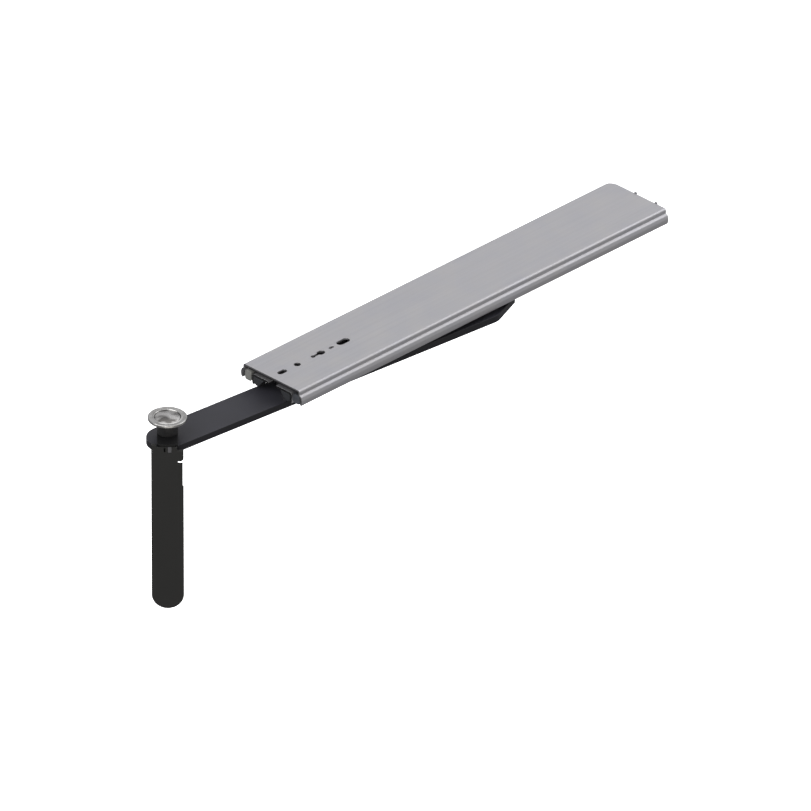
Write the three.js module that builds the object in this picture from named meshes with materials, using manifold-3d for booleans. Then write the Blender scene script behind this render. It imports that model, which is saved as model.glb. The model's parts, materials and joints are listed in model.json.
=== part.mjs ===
// A three-member ball-bearing cabinet slide that carries a swing arm, and on the arm's end a handle: a post
// with a round cap above the arm, whose foot reaches past the arm's round end and carries a long paddle.
// Millimetres, +Z up. The slide runs along Y and opens towards -Y. The origin is the centre of the outer
// member's top face, which is the face that screws under the cabinet's top.

import * as THREE from "three";
import { mergeVertices } from "three/addons/utils/BufferGeometryUtils.js";
import Module from "manifold-3d";

const wasm = await Module();
wasm.setup();

// ---------- Driving dimensions ----------

const SLIDE_LENGTH = 457.2;
const SLIDE_FRONT = -SLIDE_LENGTH / 2;
const SLIDE_REAR = SLIDE_LENGTH / 2;
const GAP = 0.3; // between pieces that rest on each other
const FIT = 0.1; // round a pin or bush in its hole

// Sheet thicknesses, and the height of each member's web at mid thickness
const OUTER = { sheet: 1.8, web: -0.9 };
const OUTER_CAGE = { sheet: 0.6, web: -2.6 };
const MIDDLE = { sheet: 1.6, web: -4.2 };
const INNER_CAGE = { sheet: 0.6, web: -5.8 };
const INNER = { sheet: 2.0, web: -7.6 };

// Where the members end at the rear: each stops short of the bumper behind it
const MIDDLE_FRONT = SLIDE_FRONT + 2.8;
const MIDDLE_REAR = SLIDE_REAR - 8;
const INNER_FRONT = SLIDE_FRONT + 0.8;
const INNER_REAR = MIDDLE_REAR - 8;

// Ball rows: radius, distance from the centre line, height, pitch and number in a row
const OUTER_BALLS = { radius: 2.6, side: 33.4, height: -9.6, pitch: 24, count: 9, middle: 0 };
const INNER_BALLS = { radius: 2.5, side: 27.2, height: -12.6, pitch: 24, count: 8, middle: 10 };

// The arm: a flat bar that turns about a pivot under the inner member
const ARM_WIDTH = 37.6;
const ARM_TOP = -19.2;
const ARM_THICKNESS = 6.4;
const ARM_BOTTOM = ARM_TOP - ARM_THICKNESS;
const ARM_YAW = THREE.MathUtils.degToRad(-5.7);
const PIVOT_Y = -199.2;
const ARM_REACH = 144; // pivot to handle axis
const ARM_SHOULDER = 213; // pivot to where the tail starts to taper
const ARM_TAIL = 254; // pivot to the tip of the tail
// The swing stop, behind the pivot
const STOP_PIN = { reach: 53.5, radius: 2.5, sleeveRadius: 3.7, top: -10 };

// The handle, which turns about the post
const HANDLE_TWIST = THREE.MathUtils.degToRad(45);
const POST_RADIUS = 9.25;
const POST_TOP = -4.2;
const FOOT_BOTTOM = ARM_TOP + GAP;
const FOOT_TOP = FOOT_BOTTOM + 4;
const FOOT_LIP_BOTTOM = FOOT_TOP - 2.2; // the lip laps over the paddle's upper edge
const SHAFT_RADIUS = 6;
const HANDLE_BUSH_RADIUS = 8;
const CAP_RADIUS = 17.4;
const BUTTON_RADIUS = 11.3;
const PADDLE_WIDTH = 28.4;
const PADDLE_THICKNESS = 3.2;
const PADDLE_BACK = -19.2; // just clear of the arm's round end
const PADDLE_FRONT = PADDLE_BACK - PADDLE_THICKNESS;
const PADDLE_TOP = FOOT_LIP_BOTTOM - GAP;
const PADDLE_SHOULDER = -15.2; // beside the foot's lip
const PADDLE_CORNER = -21.2; // the other upper corner is cut down to here
const PADDLE_BOTTOM = -180.5;
const PADDLE_SLIT = { x: -2.4, width: 1.4, top: -18, bottom: -22.5 };
const FOOT_FRONT = PADDLE_FRONT;
const CLIP = {
  left: 0.3,
  right: 3.7,
  top: PADDLE_TOP,
  bottom: -23,
  front: PADDLE_FRONT + 0.1,
  thickness: 1,
  pegRadius: 1,
};
const HANDLE_RETAINER = { radius: 10.5, thickness: 1.5 };
const SHAFT_BOTTOM = ARM_BOTTOM - GAP - HANDLE_RETAINER.thickness - 0.8;

const ROUND_SEGMENTS = 32;
const ARC_STEP = Math.PI / 8;

// ---------- Materials ----------

const finish = (color, roughness, metalness) => () =>
  new THREE.MeshStandardMaterial({ color, roughness, metalness });
const zincSteel = finish(0xb4b4b8, 0.42, 0.75);
const stainless = finish(0xc4c2c0, 0.22, 1.0);
const plainSteel = finish(0x8d8d90, 0.38, 0.9);
const blackSteel = finish(0x2b2b2e, 0.5, 0.3);
const blackPost = finish(0x1c1c1f, 0.45, 0.2);
const darkPlastic = finish(0x2a2c31, 0.55, 0.0);
const palePlastic = finish(0x8b8b88, 0.5, 0.0);
const rubber = finish(0x191919, 0.85, 0.0);
const bronze = finish(0x9a7442, 0.45, 0.8);

// ---------- Helpers ----------

function mergedPositions(geometry) {
  const flat = geometry.index ? geometry.toNonIndexed() : geometry;
  const bare = new THREE.BufferGeometry();
  bare.setAttribute("position", flat.getAttribute("position"));
  return mergeVertices(bare, 1e-4);
}

function toSolid(geometry) {
  const merged = mergedPositions(geometry);
  return new wasm.Manifold(
    new wasm.Mesh({
      numProp: 3,
      vertProperties: merged.attributes.position.array,
      triVerts: new Uint32Array(merged.index.array),
    }),
  );
}

function toGeometry(solid) {
  const mesh = solid.getMesh();
  const geometry = new THREE.BufferGeometry();
  geometry.setAttribute("position", new THREE.BufferAttribute(new Float32Array(mesh.vertProperties), 3));
  geometry.setIndex(new THREE.BufferAttribute(new Uint32Array(mesh.triVerts), 1));
  return geometry;
}

function cut(geometry, ...tools) {
  return toGeometry(tools.reduce((left, tool) => left.subtract(toSolid(tool)), toSolid(geometry)));
}

function join(...geometries) {
  return toGeometry(geometries.map(toSolid).reduce((sum, next) => sum.add(next)));
}

// Rounds the corners of an outline. Each corner is [x, y, radius].
function rounded(corners, closed = true) {
  const last = corners.length - 1;
  const points = [];
  corners.forEach(([x, y, radius = 0], i) => {
    const corner = new THREE.Vector2(x, y);
    if (radius === 0 || (!closed && (i === 0 || i === last))) {
      points.push(corner);
      return;
    }
    const before = new THREE.Vector2(...corners[i === 0 ? last : i - 1]).sub(corner).normalize();
    const after = new THREE.Vector2(...corners[i === last ? 0 : i + 1]).sub(corner).normalize();
    const halfAngle = Math.acos(THREE.MathUtils.clamp(before.dot(after), -1, 1)) / 2;
    const inward = before.clone().add(after).normalize();
    const centre = corner.clone().addScaledVector(inward, radius / Math.sin(halfAngle));
    const start = corner.clone().addScaledVector(before, radius / Math.tan(halfAngle)).sub(centre);
    const end = corner.clone().addScaledVector(after, radius / Math.tan(halfAngle)).sub(centre);
    const sweep = Math.atan2(start.cross(end), start.dot(end));
    const steps = Math.max(2, Math.ceil(Math.abs(sweep) / ARC_STEP));
    for (let k = 0; k <= steps; k += 1) {
      points.push(start.clone().rotateAround(new THREE.Vector2(), (sweep * k) / steps).add(centre));
    }
  });
  return points;
}

// The closed section of a folded sheet. halfPath gives the corners of its right half at mid thickness,
// from the web outwards, and the left half mirrors it.
function sheetSection(halfPath, thickness) {
  const left = halfPath.map(([x, y, radius]) => [-x, y, radius]).reverse();
  const path = rounded([...left, ...halfPath], false);
  const normals = path.slice(1).map((point, i) => {
    const along = point.clone().sub(path[i]).normalize();
    return new THREE.Vector2(-along.y, along.x);
  });
  const offset = (distance) =>
    path.map((point, i) => {
      const first = normals[Math.max(i - 1, 0)];
      const second = normals[Math.min(i, normals.length - 1)];
      const middle = first.clone().add(second).normalize();
      return point.clone().addScaledVector(middle, distance / middle.dot(first));
    });
  return new THREE.Shape([...offset(thickness / 2), ...offset(-thickness / 2).reverse()]);
}

// A shape drawn in X and Z, extruded along Y
function alongSlide(shape, yLow, yHigh) {
  return new THREE.ExtrudeGeometry(shape, { depth: yHigh - yLow, bevelEnabled: false })
    .rotateX(Math.PI / 2)
    .translate(0, yHigh, 0);
}

// A shape drawn in X and Y, extruded along Z
function upright(points, zLow, zHigh) {
  const shape = new THREE.Shape(points);
  return new THREE.ExtrudeGeometry(shape, { depth: zHigh - zLow, bevelEnabled: false }).translate(0, 0, zLow);
}

function rod(radius, zLow, zHigh, x = 0, y = 0) {
  const segments = radius < 3 ? ROUND_SEGMENTS / 2 : ROUND_SEGMENTS;
  return new THREE.CylinderGeometry(radius, radius, zHigh - zLow, segments)
    .rotateX(Math.PI / 2)
    .translate(x, y, (zLow + zHigh) / 2);
}

function ring(outerRadius, innerRadius, zLow, zHigh) {
  return cut(rod(outerRadius, zLow, zHigh), rod(innerRadius, zLow - 1, zHigh + 1));
}

function block(xLow, xHigh, yLow, yHigh, zLow, zHigh, radius = 0) {
  const corners = [
    [xLow, zLow, radius],
    [xHigh, zLow, radius],
    [xHigh, zHigh, radius],
    [xLow, zHigh, radius],
  ];
  return alongSlide(new THREE.Shape(rounded(corners)), yLow, yHigh);
}

// A solid of revolution about Z from a profile of [radius, height] corners that closes on itself
function turned(profile) {
  const points = profile.map(([radius, height]) => new THREE.Vector2(radius, height));
  return new THREE.LatheGeometry([...points, points[0]], ROUND_SEGMENTS).rotateX(Math.PI / 2);
}

function addMesh(parent, name, geometry, material) {
  const mesh = new THREE.Mesh(geometry, material());
  mesh.name = name;
  parent.add(mesh);
  return mesh;
}

// ---------- Members of the slide ----------

const OUTER_PATH = [
  [34.1, OUTER.web, 1.2],
  [34.1, -5.2, 0.9],
  [36.3, -6.3, 1.2],
  [37.2, -9.3, 4],
  [36.9, -12.2, 4],
  [36.0, -14.2],
];
const MIDDLE_PATH = [
  [30.2, MIDDLE.web, 1.6],
  [30.2, -7.4, 1],
  [29.7, -9.6, 2],
  [30.6, -12.6, 2],
  [30.2, -14.6],
];
const INNER_PATH = [
  [23.9, INNER.web, 1.8],
  [23.9, -10.6, 1],
  [23.5, -12.6, 2],
  [23.9, -14.6, 1],
  [23.2, -16.8],
];

// Holes of the outer member's web, all on the centre line: distance behind the front end, length along
// the slide and width
const WEB_HOLES = {
  frontSlot: { behind: 13.4, length: 10, width: 5.4 },
  screwHole: { behind: 32, length: 6.2, width: 6.2 },
  keyholeNarrow: { behind: 51.6, length: 4.2, width: 4.2 },
  keyholeNeck: { behind: 55.9, length: 9, width: 2.6 },
  keyholeWide: { behind: 61.2, length: 8, width: 6.5 },
  tinySlot: { behind: 74.2, length: 5.8, width: 2.8 },
  largeSlot: { behind: 88.8, length: 14, width: 7 },
};
const REAR_CORNER_RADIUS = 10;
const REAR_TABS = { places: [-3.4, 22], width: 2.6, thickness: 1.1, height: 1.1 }; // bent up at the rear edge

function slotTool({ behind, length, width }) {
  const y = SLIDE_FRONT + behind;
  const corners = [
    [-width / 2, y - length / 2, width / 2 - 0.01],
    [width / 2, y - length / 2, width / 2 - 0.01],
    [width / 2, y + length / 2, width / 2 - 0.01],
    [-width / 2, y + length / 2, width / 2 - 0.01],
  ];
  return upright(rounded(corners), -3, 1);
}

// What rounds off the far rear corner: a square less the quarter disc that stays
function rearCornerTool() {
  const side = -35.4;
  const beyond = side - 5;
  const outside = upright(
    rounded([
      [beyond, SLIDE_REAR - REAR_CORNER_RADIUS],
      [side + REAR_CORNER_RADIUS, SLIDE_REAR - REAR_CORNER_RADIUS],
      [side + REAR_CORNER_RADIUS, SLIDE_REAR + 1],
      [beyond, SLIDE_REAR + 1],
    ]),
    -16,
    1,
  );
  const kept = rod(REAR_CORNER_RADIUS, -17, 2, side + REAR_CORNER_RADIUS, SLIDE_REAR - REAR_CORNER_RADIUS);
  return cut(outside, kept);
}

function outerMember() {
  const channel = alongSlide(sheetSection(OUTER_PATH, OUTER.sheet), SLIDE_FRONT, SLIDE_REAR);
  const holed = cut(channel, ...Object.values(WEB_HOLES).map(slotTool), rearCornerTool());
  const tabs = REAR_TABS.places.map((x) => {
    const half = REAR_TABS.width / 2;
    const back = SLIDE_REAR + REAR_TABS.thickness;
    const foot = block(x - half, x + half, SLIDE_REAR - 1, back, -OUTER.sheet, -0.2);
    const upstand = block(x - half, x + half, SLIDE_REAR, back, -1, REAR_TABS.height);
    return join(foot, upstand);
  });
  return join(holed, ...tabs);
}

// Windows in the intermediate member's web, through which the fixing screws are reached: from and to,
// behind the slide's front end
const ACCESS_WINDOWS = { ranges: [[8, 42], [47, 105]], halfWidth: 11, radius: 4 };

function middleMember() {
  const channel = alongSlide(sheetSection(MIDDLE_PATH, MIDDLE.sheet), MIDDLE_FRONT, MIDDLE_REAR);
  const { ranges, halfWidth, radius } = ACCESS_WINDOWS;
  const windows = ranges.map(([from, to]) => {
    const corners = [
      [-halfWidth, SLIDE_FRONT + from, radius],
      [halfWidth, SLIDE_FRONT + from, radius],
      [halfWidth, SLIDE_FRONT + to, radius],
      [-halfWidth, SLIDE_FRONT + to, radius],
    ];
    return upright(rounded(corners), MIDDLE.web - 2, MIDDLE.web + 2);
  });
  return cut(channel, ...windows);
}

const BOSS_SPIGOT_RADIUS = 6;
const FRONT_NOTCH = { halfWidth: 5, depth: 9 }; // in the inner member's web, between the front guides

function innerMember() {
  const channel = alongSlide(sheetSection(INNER_PATH, INNER.sheet), INNER_FRONT, INNER_REAR);
  const { halfWidth, depth } = FRONT_NOTCH;
  const above = INNER.web + 2;
  const below = INNER.web - 2;
  const notch = block(-halfWidth, halfWidth, SLIDE_FRONT - 1, INNER_FRONT + depth, below, above);
  return cut(channel, rod(BOSS_SPIGOT_RADIUS + FIT, below, above, 0, PIVOT_Y), notch);
}

// A ball cage: a folded strip over the member inside it, with windows in its web, and its balls
function ballCage(cage, balls, halfPath) {
  const halfLength = (balls.count * balls.pitch) / 2 + 2;
  const low = balls.middle - halfLength;
  const high = balls.middle + halfLength;
  const strip = alongSlide(sheetSection(halfPath, cage.sheet), low, high);
  const windowCount = 4;
  const windowPitch = (high - low) / windowCount;
  const windows = Array.from({ length: windowCount }, (_, i) => {
    const centre = low + windowPitch * (i + 0.5);
    const halfWidth = balls.side - 9;
    const halfWindow = windowPitch / 2 - 5;
    return block(-halfWidth, halfWidth, centre - halfWindow, centre + halfWindow, cage.web - 1, cage.web + 1);
  });
  const rowStart = balls.middle - ((balls.count - 1) * balls.pitch) / 2;
  const row = (side) =>
    Array.from({ length: balls.count }, (_, i) =>
      new THREE.SphereGeometry(balls.radius, 8, 4)
        .rotateX(Math.PI / 2)
        .translate(side * balls.side, rowStart + i * balls.pitch, balls.height),
    );
  return join(cut(strip, ...windows), ...row(-1), ...row(1));
}

function outerCage() {
  return ballCage(OUTER_CAGE, OUTER_BALLS, [
    [32.1, OUTER_CAGE.web, 1],
    [32.1, -6.2, 0.6],
    [33.3, -7.4, 0.6],
    [33.3, -12.6],
  ]);
}

function innerCage() {
  return ballCage(INNER_CAGE, INNER_BALLS, [
    [27.2, INNER_CAGE.web, 1],
    [27.2, -15.2],
  ]);
}

// An end cap on the intermediate member's flange: a block with a slot for the flange
const END_CAP_LENGTH = 12;

function endCap(xLow, xHigh, zLow, zHigh) {
  const body = block(xLow, xHigh, SLIDE_FRONT + 0.3, MIDDLE_FRONT + END_CAP_LENGTH, zLow, zHigh, 2.2);
  const flange = sheetSection(MIDDLE_PATH, MIDDLE.sheet + 2 * GAP);
  return cut(body, alongSlide(flange, MIDDLE_FRONT - GAP, MIDDLE_FRONT + END_CAP_LENGTH + 1));
}

// Bumpers that the members meet when the slide closes
function bumper(halfWidth, yLow, top, bottom) {
  return block(-halfWidth, halfWidth, yLow, yLow + 5.5, bottom, top, 1.5);
}

// ---------- Front guides and pivot, carried by the inner member ----------

const UNDER_INNER_WEB = INNER.web - INNER.sheet / 2 - GAP;

// A wedge in the corner between the inner member's web and flange, at its front end. side is -1 or 1.
function frontGuide(side) {
  const yLow = SLIDE_FRONT + 0.4;
  const corners = [
    [side * 22.2, UNDER_INNER_WEB, 0.6],
    [side * 22.2, -14.8, 1],
    [side * 19.4, -16.8, 1],
    [side * 16.6, -16.2, 1],
    [side * 10.2, UNDER_INNER_WEB, 0.6],
  ];
  return alongSlide(new THREE.Shape(rounded(corners)), yLow, yLow + 11);
}

const PIVOT = {
  radius: 8,
  bushRadius: 10,
  washerRadius: 16,
  collarRadius: 16.5,
  retainerRadius: 14,
  screwRadius: 4,
};
const WASHER = 0.8;
const BOSS_BOTTOM = ARM_TOP + WASHER + 0.2;
const SPIGOT_BOTTOM = ARM_BOTTOM - WASHER - 0.4;
const RETAINER = 2.2;
const SCREW_HEAD = { radius: 6.5, height: 3 };
const SOCKET = { radius: 2.9, depth: 1.8 };

function pivotBoss() {
  const threadTop = -15;
  return turned([
    [PIVOT.screwRadius + FIT, SPIGOT_BOTTOM],
    [PIVOT.radius, SPIGOT_BOTTOM],
    [PIVOT.radius, BOSS_BOTTOM],
    [PIVOT.collarRadius, BOSS_BOTTOM],
    [PIVOT.collarRadius, UNDER_INNER_WEB],
    [BOSS_SPIGOT_RADIUS, UNDER_INNER_WEB],
    [BOSS_SPIGOT_RADIUS, INNER.web],
    [2, INNER.web],
    [2, threadTop + 2],
    [PIVOT.screwRadius + FIT, threadTop],
  ]);
}

function pivotScrew() {
  const headTop = SPIGOT_BOTTOM - RETAINER - 0.2;
  const headBottom = headTop - SCREW_HEAD.height;
  const shank = rod(PIVOT.screwRadius - FIT, headTop - 1, -16);
  const socket = new THREE.CylinderGeometry(SOCKET.radius, SOCKET.radius, 2 * SOCKET.depth, 6)
    .rotateX(Math.PI / 2)
    .translate(0, 0, headBottom);
  return cut(join(rod(SCREW_HEAD.radius, headBottom, headTop), shank), socket);
}

// ---------- Arm ----------

function swingArm() {
  const half = ARM_WIDTH / 2;
  const outline = rounded([
    [half, -ARM_REACH - half, half - 0.01],
    [half, ARM_SHOULDER + 2.5, 16],
    [-0.5, ARM_TAIL, 4],
    [-half, ARM_SHOULDER + 6, 16],
    [-half, -ARM_REACH - half, half - 0.01],
  ]);
  const below = ARM_BOTTOM - 1;
  const above = ARM_TOP + 1;
  return cut(
    upright(outline, ARM_BOTTOM, ARM_TOP),
    rod(PIVOT.bushRadius + FIT, below, above),
    rod(HANDLE_BUSH_RADIUS + FIT, below, above, 0, -ARM_REACH),
    rod(STOP_PIN.radius + FIT, below, above, 0, STOP_PIN.reach),
  );
}

// ---------- Handle ----------

function handleFoot() {
  const outline = rounded([
    [-POST_RADIUS, FOOT_FRONT, 4],
    [POST_RADIUS, FOOT_FRONT, 4],
    [POST_RADIUS, POST_RADIUS, POST_RADIUS - 0.01],
    [-POST_RADIUS, POST_RADIUS, POST_RADIUS - 0.01],
  ]);
  const side = POST_RADIUS + 1;
  const rebate = block(-side, side, FOOT_FRONT - 1, PADDLE_BACK + GAP, FOOT_BOTTOM - 1, FOOT_LIP_BOTTOM);
  return cut(upright(outline, FOOT_BOTTOM, FOOT_TOP), rod(SHAFT_RADIUS + FIT, -25, -10), rebate);
}

// A round bar along Y
function crossRod(radius, x, z, yLow, yHigh) {
  return new THREE.CylinderGeometry(radius, radius, yHigh - yLow, ROUND_SEGMENTS / 2)
    .translate(x, (yLow + yHigh) / 2, z);
}

const CLIP_MIDDLE = { x: (CLIP.left + CLIP.right) / 2, z: (CLIP.top + CLIP.bottom) / 2 };

// A small leaf let into the paddle's face, held by a peg in the paddle
function paddleClip() {
  const { left, right, top, bottom, front, thickness, pegRadius } = CLIP;
  const leaf = block(left, right, front, front + thickness, bottom, top, 0.4);
  const peg = crossRod(pegRadius, CLIP_MIDDLE.x, CLIP_MIDDLE.z, front + thickness / 2, PADDLE_BACK - GAP);
  return join(leaf, peg);
}

const RIM = { bottom: -1.7, top: 1.2 };
const POCKET_FLOOR = -2.7;
const HUB_BOTTOM = -4.0;

function capFlange() {
  return turned([
    [2.1, HUB_BOTTOM],
    [12.4, HUB_BOTTOM],
    [12.9, HUB_BOTTOM + 0.8],
    [13.2, RIM.bottom - 0.4],
    [CAP_RADIUS - 1.5, RIM.bottom],
    [CAP_RADIUS - 0.4, RIM.bottom + 0.6],
    [CAP_RADIUS, RIM.bottom + 1.6],
    [CAP_RADIUS - 0.3, RIM.top - 0.5],
    [CAP_RADIUS - 0.9, RIM.top],
    [13.6, RIM.top - 0.5],
    [12.6, RIM.top],
    [12.0, RIM.top],
    [BUTTON_RADIUS + 0.35, RIM.top - 0.5],
    [BUTTON_RADIUS + 0.35, POCKET_FLOOR],
    [2.1, POCKET_FLOOR],
  ]);
}

const ROD_RADIUS = 1.5;
const ROD_BOTTOM = -16.4;
const ROD_BORE_BOTTOM = ROD_BOTTOM - 3; // room for the button's travel
const COLLAR_TOP = HUB_BOTTOM - 0.4;
const COLLAR_BOTTOM = COLLAR_TOP - 1.2;
const SPRING_SEAT = -14.2;
const SHAFT_BORE = 4.4;

function capButton() {
  const edgeHeight = 0.5;
  const rise = 1.6;
  const steps = 6;
  const dome = Array.from({ length: steps + 1 }, (_, i) => {
    const angle = (i / steps) * (Math.PI / 2);
    return new THREE.Vector2(BUTTON_RADIUS * Math.cos(angle), edgeHeight + rise * Math.sin(angle) ** 1.4);
  });
  const profile = [new THREE.Vector2(0, 0.1), new THREE.Vector2(BUTTON_RADIUS, 0.1), ...dome];
  profile.at(-1).x = 0;
  const body = new THREE.LatheGeometry(profile, ROUND_SEGMENTS).rotateX(Math.PI / 2);
  return cut(body, rod(ROD_RADIUS + FIT, -1, 1.3));
}

function buttonRod() {
  return join(rod(ROD_RADIUS, ROD_BOTTOM, 1.1), rod(3.8, COLLAR_BOTTOM, COLLAR_TOP));
}

class Helix extends THREE.Curve {
  constructor(radius, turns, zLow, zHigh) {
    super();
    Object.assign(this, { radius, turns, zLow, zHigh });
  }

  getPoint(t) {
    const angle = 2 * Math.PI * this.turns * t;
    const height = THREE.MathUtils.lerp(this.zLow, this.zHigh, t);
    return new THREE.Vector3(this.radius * Math.cos(angle), this.radius * Math.sin(angle), height);
  }
}

function rodSpring() {
  const wire = 0.35;
  const path = new Helix(3.1, 5, SPRING_SEAT + wire + 0.2, COLLAR_BOTTOM - wire - 0.2);
  const section = new THREE.Shape().absarc(0, 0, wire, 0, 2 * Math.PI);
  return new THREE.ExtrudeGeometry(section, { steps: 50, extrudePath: path, curveSegments: 3 });
}

const SHAFT_TOP = HUB_BOTTOM - GAP;

function handleShaft() {
  return cut(
    rod(SHAFT_RADIUS, SHAFT_BOTTOM, SHAFT_TOP),
    rod(SHAFT_BORE, SPRING_SEAT, 0),
    rod(ROD_RADIUS + FIT, ROD_BORE_BOTTOM, 0),
  );
}

// The paddle: a flat strip in front of the arm's round end, with a full-round lower end, a slit and a peg
// hole near the top and, in one edge, a thin notch with the edge below it set back a little
function paddle() {
  const half = PADDLE_WIDTH / 2;
  const bevel = 0.5;
  const lip = POST_RADIUS + GAP;
  const notch = { top: -31.6, bottom: -34.5, depth: 4.9, cornerRadius: 3 };
  const recess = { depth: 0.8, bottom: -57.4 };
  const outline = rounded([
    [-half, PADDLE_SHOULDER, 0.8],
    [-lip, PADDLE_SHOULDER, 0.8],
    [-lip, PADDLE_TOP],
    [lip - 1, PADDLE_TOP, 0.8],
    [lip - 1, PADDLE_CORNER],
    [half, PADDLE_CORNER, 0.8],
    [half, PADDLE_BOTTOM, half - 0.2],
    [-half, PADDLE_BOTTOM, half - 0.2],
  ]);
  const blade = new THREE.ExtrudeGeometry(new THREE.Shape(outline), {
    depth: PADDLE_THICKNESS - 2 * bevel,
    bevelThickness: bevel,
    bevelSize: bevel,
    bevelOffset: -bevel,
    bevelSegments: 2,
  })
    .rotateX(Math.PI / 2)
    .translate(0, PADDLE_BACK - bevel, 0);
  const edgeCut = new THREE.Shape(
    rounded([
      [half + 1, notch.top + notch.cornerRadius + 1],
      [half - 0.05, notch.top + notch.cornerRadius + 1],
      [half - 0.05, notch.top, notch.cornerRadius],
      [half - notch.depth, notch.top],
      [half - notch.depth, notch.bottom],
      [half - recess.depth, notch.bottom, 0.6],
      [half - recess.depth, recess.bottom],
      [half + 1, recess.bottom - 1],
    ]),
  );
  const front = PADDLE_FRONT - 1;
  const back = PADDLE_BACK + 1;
  const { x, width, top, bottom } = PADDLE_SLIT;
  const pocketFloor = CLIP.front + CLIP.thickness + GAP;
  return cut(
    blade,
    alongSlide(edgeCut, front, back),
    block(x - width / 2, x + width / 2, front, back, bottom, top, 0.4),
    block(CLIP.left - GAP, CLIP.right + GAP, front, pocketFloor, CLIP.bottom - GAP, PADDLE_TOP + 1),
    crossRod(CLIP.pegRadius + FIT, CLIP_MIDDLE.x, CLIP_MIDDLE.z, front, back),
  );
}

// ---------- Assembly ----------

const root = new THREE.Group();

addMesh(root, "outer_member", outerMember(), zincSteel);
addMesh(root, "outer_rear_bumper", bumper(20, MIDDLE_REAR + 0.6, -2.1, -13), rubber);
addMesh(root, "outer_ball_cage", outerCage(), plainSteel);
addMesh(root, "intermediate_member", middleMember(), zincSteel);
addMesh(root, "end_cap_left", endCap(-33.2, -25.4, -15.2, -5.3), palePlastic);
addMesh(root, "end_cap_right", endCap(26.2, 34.8, -14.6, -6.0), darkPlastic);
addMesh(root, "intermediate_rear_bumper", bumper(18, INNER_REAR + 0.6, -5.3, -14), rubber);
addMesh(root, "inner_ball_cage", innerCage(), plainSteel);
addMesh(root, "inner_member", innerMember(), zincSteel);
addMesh(root, "front_guide_left", frontGuide(-1), darkPlastic);
addMesh(root, "front_guide_right", frontGuide(1), darkPlastic);

const pivot = new THREE.Group();
pivot.position.set(0, PIVOT_Y, 0);
root.add(pivot);
addMesh(pivot, "pivot_boss", pivotBoss(), plainSteel);
addMesh(pivot, "pivot_screw", pivotScrew(), plainSteel);
const retainerTop = SPIGOT_BOTTOM - 0.1;
const retainerBottom = retainerTop - RETAINER + FIT;
const pivotRetainer = ring(PIVOT.retainerRadius, PIVOT.screwRadius + GAP, retainerBottom, retainerTop);
addMesh(pivot, "pivot_retainer", pivotRetainer, plainSteel);

const arm = new THREE.Group();
arm.rotation.z = ARM_YAW;
pivot.add(arm);
addMesh(arm, "swing_arm", swingArm(), blackSteel);
const bushLow = ARM_BOTTOM + FIT;
const bushHigh = ARM_TOP - FIT;
addMesh(arm, "pivot_bush", ring(PIVOT.bushRadius, PIVOT.radius + FIT, bushLow, bushHigh), bronze);
const washer = (low) => ring(PIVOT.washerRadius, PIVOT.radius + 0.4, low, low + WASHER);
addMesh(arm, "upper_thrust_washer", washer(ARM_TOP + FIT), darkPlastic);
addMesh(arm, "lower_thrust_washer", washer(ARM_BOTTOM - FIT - WASHER), darkPlastic);
const stopPin = addMesh(arm, "stop_pin", rod(STOP_PIN.radius, ARM_BOTTOM + 0.2, STOP_PIN.top), plainSteel);
const sleeve = ring(STOP_PIN.sleeveRadius, STOP_PIN.radius + FIT, ARM_TOP + GAP, STOP_PIN.top - 0.4);
const stopSleeve = addMesh(arm, "stop_sleeve", sleeve, rubber);
[stopPin, stopSleeve].forEach((mesh) => mesh.position.setY(STOP_PIN.reach));
const handleBush = ring(HANDLE_BUSH_RADIUS, SHAFT_RADIUS + FIT, bushLow, bushHigh);
addMesh(arm, "handle_bush", handleBush, bronze).position.setY(-ARM_REACH);

const handle = new THREE.Group();
handle.position.set(0, -ARM_REACH, 0);
handle.rotation.z = HANDLE_TWIST - ARM_YAW;
arm.add(handle);
addMesh(handle, "handle_foot", handleFoot(), blackPost);
addMesh(handle, "handle_post", ring(POST_RADIUS, SHAFT_RADIUS + FIT, FOOT_TOP + 0.1, POST_TOP), blackPost);
addMesh(handle, "handle_shaft", handleShaft(), plainSteel);
const { radius: holdRadius, thickness: holdThickness } = HANDLE_RETAINER;
const holdTop = ARM_BOTTOM - GAP;
const handleRetainer = ring(holdRadius, SHAFT_RADIUS + FIT, holdTop - holdThickness, holdTop);
addMesh(handle, "handle_retainer", handleRetainer, plainSteel);
addMesh(handle, "cap_flange", capFlange(), stainless);
addMesh(handle, "cap_button", capButton(), stainless);
addMesh(handle, "button_rod", buttonRod(), plainSteel);
addMesh(handle, "rod_spring", rodSpring(), plainSteel);
addMesh(handle, "paddle", paddle(), blackSteel);
addMesh(handle, "paddle_clip", paddleClip(), plainSteel);

export default root;
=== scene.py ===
"""The cabinet slide with its swing arm and handle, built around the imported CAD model.

Lengths in the piece code are millimetres in the piece's own frame, and MM turns them into metres.
"""

import math

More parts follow.
